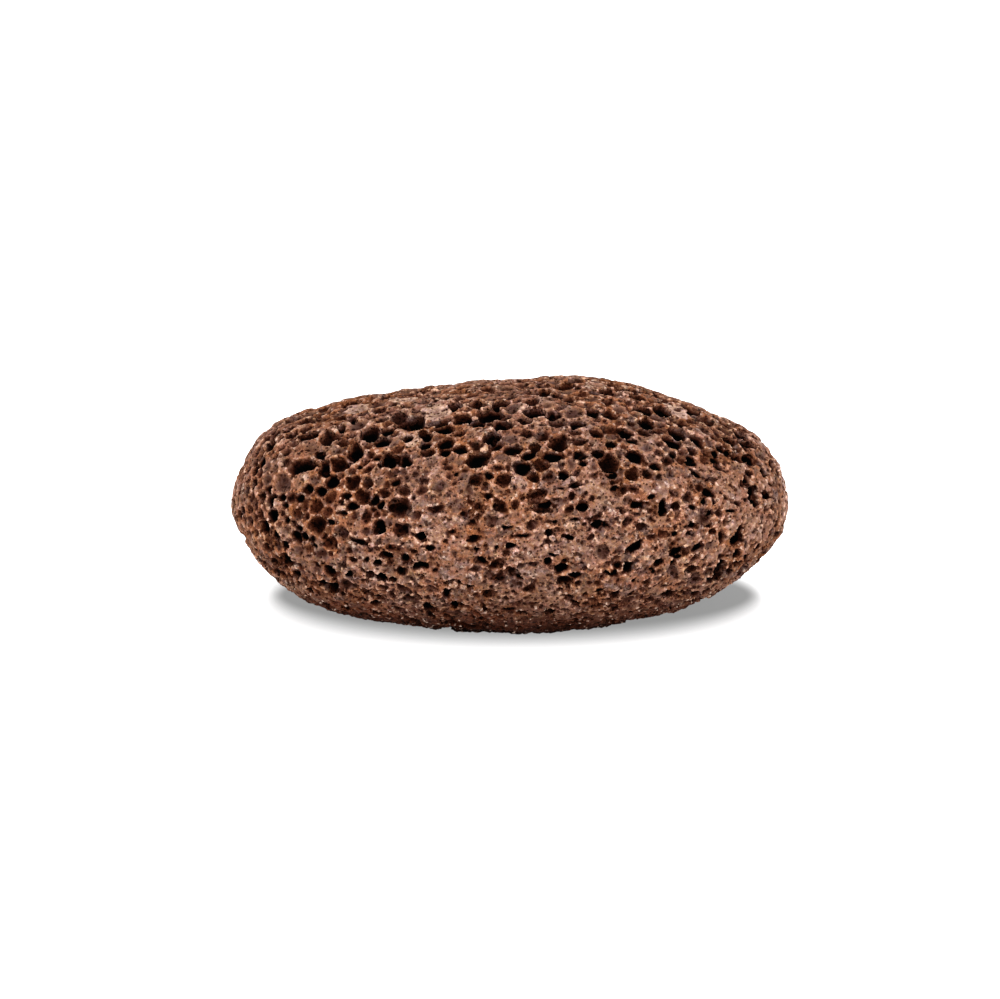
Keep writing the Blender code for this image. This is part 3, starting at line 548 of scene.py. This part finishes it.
def near_bubbles(skin_tree):
    """Place the bubbles that show from the front by line of sight."""
    eye = STONE_MIDDLE + TOWARDS_EYE * EYE_DISTANCE
    found = []
    for across, up, width, height, lean, kind in NEAR_PITS:
        target = STONE_MIDDLE + Vector((across * MM, 0, 0)) + VIEW_UP * up * MM
        sight = (target - eye).normalized()
        place, normal, _, _ = skin_tree.ray_cast(eye, sight)
        if place is None:
            continue
        lean_turn = Matrix.Rotation(math.radians(lean), 3, TOWARDS_EYE)
        long_axis = lean_turn @ Vector((1, 0, 0))
        long_axis = (long_axis - normal * long_axis.dot(normal)).normalized()
        edge_on = max(FLATTEST_SIGHT, -sight.dot(normal))
        half_width = width / 2 * MM * NEAR_WIDENING
        half_height = height / 2 * MM * NEAR_WIDENING / edge_on
        found.append(bubble(place, normal, long_axis, half_width, half_height, kind))
    return found


def scattered_places(skin, chance, count):
    """Return random places on the skin, evenly spread, with their normals."""
    mesh = skin.data
    mesh.calc_loop_triangles()
    corners = np.empty(len(mesh.loop_triangles) * 3, dtype=int)
    mesh.loop_triangles.foreach_get("vertices", corners)
    first, second, third = points_of(mesh)[corners.reshape(-1, 3)].transpose(1, 0, 2)
    normals = np.cross(second - first, third - first)
    areas = np.linalg.norm(normals, axis=1)
    picked = chance.choice(len(areas), count, p=areas / areas.sum())
    across, along = chance.random((2, count))
    folded = across + along > 1
    across[folded], along[folded] = 1 - across[folded], 1 - along[folded]
    places = (
        first[picked]
        + (second - first)[picked] * across[:, None]
        + (third - first)[picked] * along[:, None]
    )
    return places, normals[picked] / areas[picked, None]


def in_honeycomb(place):
    """Tell whether a place on the stone is in the honeycomb."""
    start, end = HONEYCOMB_TURN
    turned = min(max((place[0] - start) / (end - start), 0), 1)
    return place[2] > HONEYCOMB_LEVEL - HONEYCOMB_DIP * turned


def is_there(where, place, normal, towards_eye):
    """Tell whether a place is in one of the zones that the scatter names."""
    if where == "far":
        return normal @ towards_eye < NEAR_SIDE
    return in_honeycomb(place) == (where == "honeycomb")


def scattered_bubble(place, normal, radius, stretch, kind, chance):
    """Describe one bubble, drawn out more or less along the flow."""
    normal = Vector(normal)
    along = (FLOW - normal * FLOW.dot(normal)).normalized()
    long_axis = Matrix.Rotation(chance.uniform(-FLOW_SPREAD, FLOW_SPREAD), 3, normal) @ along
    known = bubble(Vector(place), normal, long_axis, radius * stretch, radius / stretch, kind)
    known["dark"] *= SCATTERED_SHADE
    return known


def scatter_bubbles(skin, found):
    """Fill the room that is left with bubbles, each as wide as its neighbours let it be."""
    chance = np.random.default_rng(SCATTER_SEED)
    towards_eye = np.array(TOWARDS_EYE)
    taken = np.zeros((len(found) + sum(tries for *_, tries in SCATTER), 4))
    for index, known in enumerate(found):
        taken[index] = (*known["place"], known["mouth"])
    for where, largest, smallest, tries in SCATTER:
        places, normals = scattered_places(skin, chance, tries)
        widest = MM * chance.uniform(smallest, largest, tries)
        for place, normal, most in zip(places, normals, widest):
            if not is_there(where, place, normal, towards_eye):
                continue
            used = len(found)
            gaps = np.linalg.norm(taken[:used, :3] - place, axis=1) - taken[:used, 3]
            radius = min(most, gaps.min() - WALLS[where])
            if radius < smallest * MM:
                continue
            taken[used] = (*place, radius)
            kinds = HONEYCOMB_KINDS if in_honeycomb(place) else GRITTY_KINDS
            kind = kinds[chance.integers(len(kinds))]
            stretch = math.sqrt(chance.uniform(1.0, STRETCHES[where]))
            found.append(scattered_bubble(place, normal, radius, stretch, kind, chance))


def add_inner_bubbles(found):
    """Open smaller bubbles in the walls of the wide ones."""
    chance = np.random.default_rng(SCATTER_SEED)
    for known in list(found):
        if known["mouth"] < INNER_FROM:
            continue
        for _ in range(chance.poisson(INNER_COUNT)):
            outward = chance.normal(size=3)
            outward[2] = -abs(outward[2]) - INNER_DOWN
            outward /= np.linalg.norm(outward)
            offset = Vector((0, 0, 0))
            for axis, half, share in zip(known["axes"], known["halves"], outward):
                offset += axis * half * share
            radius = known["mouth"] * chance.uniform(*INNER_SIZES)
            place, normal = known["middle"] + offset, -offset.normalized()
            inner = scattered_bubble(place, normal, radius, INNER_STRETCH, HALF, chance)
            inner["inner"] = True
            found.append(inner)


def gathered(found, name):
    """Return what all the bubbles have under one name as an array."""
    return np.array([known[name] for known in found], dtype=float)


def tree_of(places):
    """Return a tree that finds the places nearest to another."""
    tree = kdtree.KDTree(len(places))
    for index, place in enumerate(places):
        tree.insert(place, index)
    tree.balance()
    return tree


def ellipse_reach(opens, ways):
    """Return how far ellipses of given half sizes reach in given unit directions."""
    turned = opens[..., ::-1] * ways
    return opens.prod(axis=-1) / np.maximum(np.linalg.norm(turned, axis=-1), TINY)


def unit(vectors):
    """Return vectors at length 1."""
    return vectors / np.maximum(np.linalg.norm(vectors, axis=-1, keepdims=True), TINY)


def crowding(found, axes, halves, directions):
    """Return how much each ball is widened or narrowed each way to leave one thin even wall.

    In the sums, n counts balls, k a ball's neighbours, m directions, a axes and c coordinates.
    """
    places = gathered(found, "place")
    opens = gathered(found, "open")
    zones = np.array([int(in_honeycomb(place)) for place in places])
    tree = tree_of(places)
    hits = [tree.find_n(place, NEIGHBOURS + 1)[1:] for place in places]
    near = np.array([[hit[1] for hit in row] for row in hits])
    offsets = places[near] - places[:, None]
    own_ways = unit(np.einsum("nkc,nac->nka", offsets, axes[:, :2]))
    other_ways = unit(np.einsum("nkc,nkac->nka", offsets, axes[near][:, :, :2]))
    own_reach = ellipse_reach(opens[:, None], own_ways)
    other_reach = ellipse_reach(opens[near], other_ways)
    walls = np.array(CROWDED_WALLS)[zones]
    room = np.linalg.norm(offsets, axis=2) - own_reach - other_reach - walls[:, None]
    limits = own_reach + room / 2
    ways = unit(directions[None, :, :2] * halves[:, None, :2])
    facing = np.einsum("nma,nka->nmk", ways, own_ways)
    allowed = (limits[:, None] / np.maximum(facing, SIDELONG)).min(axis=2)
    growth = np.array(GROWTH)[zones]
    return np.clip(allowed / ellipse_reach(opens[:, None], ways), SHRINKING, growth[:, None])


def swelling(found, directions):
    """Return how far each uneven ball swells out each way."""
    chance = np.random.default_rng(SCATTER_SEED)
    count = len(found)
    unevenness = np.array([SWELLS[in_honeycomb(known["place"])] for known in found])[:, None]
    swell = np.ones((count, len(directions)))
    for turns in SWELL_TURNS:
        wave_axes = unit(chance.normal(size=(count, 3)))
        phases = chance.uniform(0, 2 * math.pi, (count, 1))
        swell += unevenness * np.cos(turns * wave_axes @ directions.T + phases)
    return swell


def add_bubble_mesh(found):
    """Make every bubble an uneven ball, all in one mesh."""
    deselect()
    bpy.ops.mesh.primitive_ico_sphere_add(subdivisions=BALL_ROUNDS, radius=1)
    ball = bpy.context.object
    directions = points_of(ball.data)
    corners = np.empty(len(ball.data.polygons) * 3, dtype=int)
    ball.data.polygons.foreach_get("vertices", corners)
    bpy.data.objects.remove(ball, do_unlink=True)
    axes = gathered(found, "axes")
    halves = gathered(found, "halves")
    local = directions[None] * swelling(found, directions)[..., None] * halves[:, None]
    outer = np.array([not known["inner"] for known in found])
    open_ones = [known for known in found if not known["inner"]]
    local[outer, :, :2] *= crowding(open_ones, axes[outer], halves[outer], directions)[..., None]
    places = np.einsum("nvk,nkc->nvc", local, axes) + gathered(found, "middle")[:, None]
    starts = np.arange(len(found)) * len(directions)
    faces = corners.reshape(1, -1, 3) + starts[:, None, None]
    mesh = bpy.data.meshes.new("bubbles")
    mesh.from_pydata(places.reshape(-1, 3), [], faces.reshape(-1, 3))
    bubbles = bpy.data.objects.new("bubbles", mesh)
    link(bubbles)
    return bubbles


def carving_tree(bubbles):
    """Nodes that take the bubbles out of a block and roughen what is left."""
    tree = bpy.data.node_groups.new("carving", "GeometryNodeTree")
    tree.interface.new_socket("Block", in_out="INPUT", socket_type="NodeSocketGeometry")
    tree.interface.new_socket("Carved", in_out="OUTPUT", socket_type="NodeSocketGeometry")
    bench = Bench(tree)
    block = bench.node("NodeGroupInput")
    cutters = bench.node("GeometryNodeObjectInfo", None, {"Object": bubbles}, output="Geometry")
    grain = {"Voxel Size": VOXEL, "Band Width": 3}
    block_field = bench.node("GeometryNodeMeshToSDFGrid", None, {"Mesh": block, **grain})
    cutter_field = bench.node("GeometryNodeMeshToSDFGrid", None, {"Mesh": cutters, **grain})
    left = bench.node(
        "GeometryNodeSDFGridBoolean", {"operation": "DIFFERENCE"}, {0: block_field, 1: cutter_field},
    )
    carved = bench.node("GeometryNodeGridToMesh", None, {"Grid": left, "Threshold": 0.0})
    bench.node("NodeGroupOutput", None, {0: roughened(bench, block, carved)})
    return tree


def uneven(bench, place, spacing, swing):
    """Return heights that swing either way round nothing."""
    return (bench.noise(place, spacing, UNEVEN_NOISE) - 0.5) * swing * 2


def roughened(bench, block, carved):
    """Move the surface in and out by uneven heights of three sizes."""
    place = bench.node("GeometryNodeInputPosition")
    normal = bench.node("GeometryNodeInputNormal")
    height = 0.0
    for spacing, swing in ROUGHNESS:
        height = uneven(bench, place, spacing, swing) + height
    start, end = HONEYCOMB_TURN
    dip = bench.between(bench.along_axis(place, "X"), end, start, HONEYCOMB_DIP, 0.0)
    above = bench.along_axis(place, "Z") + dip - HONEYCOMB_LEVEL
    height = height * bench.between(above, *HONEYCOMB_EDGE, 1.0, HONEYCOMB_CALM)
    height = uneven(bench, place, *WAVES) + height
    skin_distance = {0: block, "Source Position": place}
    depth = bench.node(
        "GeometryNodeProximity", {"target_element": "FACES"}, skin_distance, output="Distance",
    )
    height = height * bench.between(depth, *BOWL_EDGE, 1.0, BOWL_CALM)
    push = bench.node(
        "ShaderNodeVectorMath", {"operation": "SCALE"}, {0: normal, "Scale": height},
    )
    return bench.node("GeometryNodeSetPosition", None, {"Geometry": carved, "Offset": push})


def keep_largest_shell(thing):
    """Drop the crumbs that the carving cuts loose."""
    make_active(thing)
    bpy.ops.object.mode_set(mode="EDIT")
    bpy.ops.mesh.select_all(action="DESELECT")
    bpy.ops.object.mode_set(mode="OBJECT")
    mesh = thing.data
    starts, ends = edges_of(mesh).T
    # Each vertex takes the lowest label round it until all of a shell have the same one.
    label = np.arange(len(mesh.vertices))
    while True:
        lowest = label.copy()
        np.minimum.at(lowest, starts, label[ends])
        np.minimum.at(lowest, ends, label[starts])
        lowest = lowest[lowest]
        if (lowest == label).all():
            break
        label = lowest
    shells, sizes = np.unique(label, return_counts=True)
    mesh.vertices.foreach_set("select", label != shells[sizes.argmax()])
    bpy.ops.object.mode_set(mode="EDIT")
    bpy.ops.mesh.delete(type="VERT")
    bpy.ops.object.mode_set(mode="OBJECT")


def carve_stone(skin, found):
    """Carve the stone from its skin and its bubbles, and keep it above the ground."""
    bubbles = add_bubble_mesh(found)
    stone = twin(skin, "pumice_stone")
    apply_modifier(stone, "carve", "NODES", node_group=carving_tree(bubbles))
    keep_largest_shell(stone)
    stone.data.calc_loop_triangles()
    share = TRIANGLES / len(stone.data.loop_triangles)
    apply_modifier(stone, "thin", "DECIMATE", ratio=share)
    places = points_of(stone.data)
    places[:, 2] = places[:, 2].clip(0)
    stone.data.vertices.foreach_set("co", places.ravel())
    stone.data.update()
    bpy.data.objects.remove(bubbles, do_unlink=True)
    return stone


def add_shade_attributes(stone, skin_tree, found):
    """Store how deep inside its bubble each vertex lies, times how dark its bubble's painted shade is, and
    whether that is shallow or pale.
    """
    places = points_of(stone.data)
    depths = np.array([skin_tree.find_nearest(place)[3] for place in places])
    middles = gathered(found, "middle")
    tree = tree_of(middles)
    near = np.array([[hit[1] for hit in tree.find_n(place, OWNERS)] for place in places])
    offsets = places[:, None] - middles[near]
    local = np.einsum("vbc,vbkc->vbk", offsets, gathered(found, "axes")[near])
    local /= gathered(found, "halves")[near]
    misfit = np.abs(np.linalg.norm(local, axis=2) - 1)
    owner = near[np.arange(len(places)), misfit.argmin(axis=1)]
    dark = gathered(found, "dark")[owner]
    sunk = depths / gathered(found, "depth")[owner]
    inside = np.clip(sunk / FULLY_INSIDE, 0, 1)
    # The painted shade inside the bubbles follows this.
    store(stone.data, "hollow", np.clip(sunk, 0, DEEPEST) * dark)
    store(stone.data, "shallow", inside * gathered(found, "shallow")[owner])
    store(stone.data, "pale", inside * (dark == 0))


def add_relief_attributes(stone):
    """Store how far each vertex stands out of the surface round it, at three sizes."""
    mesh = stone.data
    places = points_of(mesh)
    normals = np.empty(len(mesh.vertices) * 3)
    mesh.vertices.foreach_get("normal", normals)
    normals = normals.reshape(-1, 3)
    starts, ends = edges_of(mesh).T
    count = np.bincount(starts, minlength=len(places)) + np.bincount(ends, minlength=len(places))
    evened = places.copy()
    done = 0
    for name, rounds in RELIEF_ROUNDS.items():
        while done < rounds:
            total = np.empty_like(evened)
            for axis in range(3):
                total[:, axis] = np.bincount(starts, evened[ends, axis], len(places))
                total[:, axis] += np.bincount(ends, evened[starts, axis], len(places))
            evened = (evened + total / count[:, None]) / 2
            done += 1
        store(mesh, name, ((places - evened) * normals).sum(axis=1) / MM)


def start_material(name):
    """Begin a material with an empty tree, and return its bench with it."""
    material = bpy.data.materials.new(name)
    material.use_nodes = True
    material.node_tree.nodes.clear()
    return material, Bench(material.node_tree)


def pores(bench, place):
    """Tell the pores from the rest: they are of two sizes, each in some cells only."""
    pore = 0.0
    for spacing, rarity in PORES:
        reach = bench.cells(place, spacing, "Distance")
        drawn = bench.between(bench.cells(place, spacing, "Color"), rarity, rarity + PORE_DRAW)
        pore = (bench.between(reach, *PORE_EDGE, 1.0, 0.0) * drawn).most(pore)
    return pore


def lava_signs(bench):
    """Gather what the lava foam's finish follows: attributes of the mesh, noises and grit."""
    place = bench.node("ShaderNodeTexCoord", output="Object")
    signs = {"place": place}
    for name in ("hollow", "shallow", "pale", *RELIEF_ROUNDS):
        signs[name] = bench.node("ShaderNodeAttribute", {"attribute_name": name}, output="Fac")
    for name, size in NOISE_SIZES.items():
        signs[name] = bench.noise(place, size, GRIT_NOISE)
    signs["grain"] = bench.cells(place, GRAIN, "Color")
    signs["grain_reach"] = bench.cells(place, GRAIN, "Distance")
    signs["pore"] = pores(bench, place)
    signs["coarse"] = 1.0 - signs["shallow"] * SMOOTH_CALM
    return signs


def crust_color(bench, signs):
    """Mix the colours of the crust, then of smooth and pale bottoms, then the painted highlight on the
    rims.
    """
    color = bench.mix(bench.between(signs["broad"], *COOL_RANGE), WARM, COOL)
    color = bench.mix(bench.between(signs["blotch"], *DULL_RANGE), color, DULL)
    color = bench.mix(signs["shallow"] * SMOOTH_SHARE, color, SMOOTH)
    color = bench.mix(signs["pale"] * PALE_SHARE, color, PALE)
    # Painted highlight along the rims.
    return bench.mix(bench.between(signs["edge"], *RIM_HIGHLIGHT_RANGE, 0.0, RIM_HIGHLIGHT_SHARE), color, RIM_HIGHLIGHT)


def lava_brightness(bench, signs):
    """Work out the brightness: ridges are pale by painted highlights, and bottoms, cavities, pores and the
    underside dark by painted shade.
    """
    # Painted highlight on the ridges, painted shade where the surface dips.
    level = bench.between(signs["ridge"], *RIDGE_LIGHT_RANGE, *RIDGE_LIGHT_LEVELS)
    # Painted shade in the cavities.
    sunk = bench.between(signs["cavity"], *CAVITY_SHADE_RANGE, CAVITY_SHADE_LEVEL, 1.0)
    # Painted shade deep inside the bubbles, black at their bottoms.
    deep = bench.between(signs["hollow"], *HOLLOW_SHADE_RANGE, 1.0, HOLLOW_SHADE_LEVEL)
    deep = deep * bench.between(signs["hollow"], *BOTTOM_SHADE_RANGE, 1.0, BOTTOM_SHADE_LEVEL)
    grit = (signs["grain"] - 0.5) * GRAIN_SWING + (signs["fine"] - 0.5) * FINE_SWING
    grit = 1.0 + grit * signs["coarse"]
    grit = grit * (1.0 + (signs["middle"] - 0.5) * MIDDLE_SWING)
    grit = grit * (1.0 + (signs["patch"] - 0.5) * PATCH_SWING + (signs["broad"] - 0.5) * BROAD_SWING)
    # The pores are darkened by painted shade.
    brightness = (level * sunk * deep * grit * (1.0 - signs["pore"] * PORE_SHADE)).most(0.0)
    above = bench.along_axis(signs["place"], "Z")
    paler_belt = bench.between(above, *PALER_BELT_RISE) * bench.between(above, *PALER_BELT_FALL, 1.0, 0.0)
    paler_belt = paler_belt * bench.between(bench.along_axis(signs["place"], "X"), *PALER_BELT_ALONG)
    # Painted shade on the underside.
    brightness = brightness * bench.between(above, 0.0, UNDERSIDE_SHADE_REACH, UNDERSIDE_SHADE_LEVEL, 1.0)
    return brightness * (1.0 + paler_belt * PALER_BELT_GAIN)


def lava_tints(bench, signs, brightness):
    """Return all that a crust colour is multiplied by."""
    shade = bench.mix(bench.between(brightness, *SHADE_RANGE), SHADE_TINT, WHITE)
    shade = bench.mix(bench.between(brightness, *GLARE_RANGE), shade, GLARE_TINT)
    inside = bench.between(signs["hollow"], *INSIDE_HOLLOW)
    inside = inside.most(bench.between(signs["cavity"], *INSIDE_CAVITY, 1.0, 0.0))
    place_tint = bench.mix(inside, OUTSIDE_TINT, INSIDE_TINT)
    tinge = 0.5
    for spacing, swing in TINGES:
        tinge = (bench.noise(signs["place"], spacing, TINGE_NOISE) - 0.5) * swing + tinge
    return bench.gray(brightness), shade, place_tint, bench.mix(tinge, MAUVE, ORANGE)


def lava_material():
    """Dry reddish-brown lava foam."""
    material, bench = start_material("lava_foam")
    signs = lava_signs(bench)
    color = crust_color(bench, signs)
    # The brightness multiplied in here carries the painted highlights and the painted shade.
    for tint in lava_tints(bench, signs, lava_brightness(bench, signs)):
        color = bench.mix(1.0, color, tint, "MULTIPLY")
    # Painted glints on pale grains of the ridges.
    painted_glint = bench.between(signs["grain"], *PAINTED_GLINT_DRAW) * bench.between(signs["ridge"], *PAINTED_GLINT_RIDGE)
    color = bench.mix(painted_glint * PAINTED_GLINT_SHARE, color, PAINTED_GLINT)
    height = signs["fine"] * GRIT_BUMP + signs["middle"] * GRIT_BUMP - signs["grain_reach"] * GRAIN_BUMP
    height = height * signs["coarse"] - signs["pore"] * PORE_BUMP
    bump = bench.node(
        "ShaderNodeBump", None, {"Strength": 1.0, "Distance": BUMP, "Height": height}, output="Normal",
    )
    bench.surface({
        "Base Color": color, "Roughness": DRYNESS, "Specular IOR Level": SHINE, "Normal": bump,
    })
    return material


def paper_material():
    """White paper that glows, with a painted shadow: grey in an ellipse under the stone."""
    material, bench = start_material("white_paper")
    place = bench.node("ShaderNodeTexCoord", output="Object")
    scaled = bench.vector("DIVIDE", bench.vector("SUBTRACT", place, SHADE_MIDDLE), SHADE_SIZE)
    reach = bench.length(scaled)
    blur = bench.length(bench.vector("MULTIPLY", scaled, SHADE_BLUR))
    widths_outside = (reach - 1.0) * reach / blur.most(LEAST_BLUR)
    # The painted shadow: darker paper and less glow inside the ellipse.
    openness = bench.between(widths_outside, -0.5, 0.5)
    bench.surface({
        "Base Color": bench.mix(openness, SHADED_PAPER, OPEN_PAPER),
        "Emission Color": bench.mix(openness, SHADED_GLOW, OPEN_GLOW),
        "Emission Strength": 1.0, "Roughness": 1.0, "Specular IOR Level": 0.0,
    })
    return material


def screen_material():
    """A plain white glow."""
    material, bench = start_material("white_screen")
    bench.surface({
        "Base Color": BLACK, "Specular IOR Level": 0.0,
        "Emission Color": WHITE, "Emission Strength": 1.0,
    })
    return material


def add_floor():
    """A wide pale floor."""
    deselect()
    bpy.ops.mesh.primitive_plane_add(size=FLOOR_WIDTH)
    floor = bpy.context.object
    floor.name = "floor"
    floor.data.materials.append(paper_material())


def add_backdrop():
    """A low white ring round the floor."""
    deselect()
    bpy.ops.mesh.primitive_cylinder_add(
        vertices=BACKDROP_SIDES, radius=BACKDROP_AWAY, depth=BACKDROP_HEIGHT,
        end_fill_type="NOTHING", location=(0, 0, BACKDROP_HEIGHT / 2),
    )
    ring = bpy.context.object
    ring.name = "backdrop"
    ring.data.materials.append(screen_material())


def add_sun(name, direction, strength, softness):
    """One broad soft light from a direction, even over the whole floor."""
    lamp = bpy.data.lights.new(name, "SUN")
    lamp.energy = strength
    lamp.angle = math.radians(softness)
    holder = bpy.data.objects.new(name, lamp)
    holder.rotation_euler = Vector(direction).to_track_quat("Z", "Y").to_euler()
    link(holder)


def add_lights():
    """Soft light from all round, with an overhead key and a weaker light on the near side."""
    world = bpy.data.worlds.new("studio")
    world.use_nodes = True
    background = world.node_tree.nodes["Background"]
    background.inputs["Color"].default_value = WHITE
    background.inputs["Strength"].default_value = WORLD_LIGHT
    bpy.context.scene.world = world
    for sun in SUNS:
        add_sun(*sun)
    bpy.context.scene.view_settings.view_transform = "Standard"


def add_camera():
    """A long lens a little above the stone, square on to its broad side."""
    lens = bpy.data.cameras.new("camera")
    lens.sensor_width = SENSOR_WIDTH
    lens.lens = SENSOR_WIDTH * EYE_DISTANCE / VIEW_WIDTH
    camera = bpy.data.objects.new("camera", lens)
    aim = STONE_MIDDLE - Vector((STONE_RIGHT, 0, 0)) + VIEW_UP * STONE_LOW
    camera.location = aim + TOWARDS_EYE * EYE_DISTANCE
    camera.rotation_euler = (-TOWARDS_EYE).to_track_quat("-Z", "Y").to_euler()
    link(camera)
    bpy.context.scene.camera = camera


def add_stone(solid):
    """Build the stone over its solid."""
    skin = add_smooth_skin(solid)
    skin_tree = BVHTree.FromPolygons(
        [vertex.co for vertex in skin.data.vertices],
        [face.vertices[:] for face in skin.data.polygons],
    )
    found = near_bubbles(skin_tree)
    scatter_bubbles(skin, found)
    add_inner_bubbles(found)
    stone = carve_stone(skin, found)
    bpy.data.objects.remove(skin, do_unlink=True)
    add_shade_attributes(stone, skin_tree, found)
    add_relief_attributes(stone)
    stone.data.shade_smooth()
    stone.data.materials.clear()
    stone.data.materials.append(lava_material())
    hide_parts("stone")
    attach(stone, "root")


def main():
    """Build the stone, then the studio round it."""
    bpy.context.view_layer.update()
    add_stone(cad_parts["stone"])
    add_floor()
    add_backdrop()
    add_lights()
    add_camera()


main()
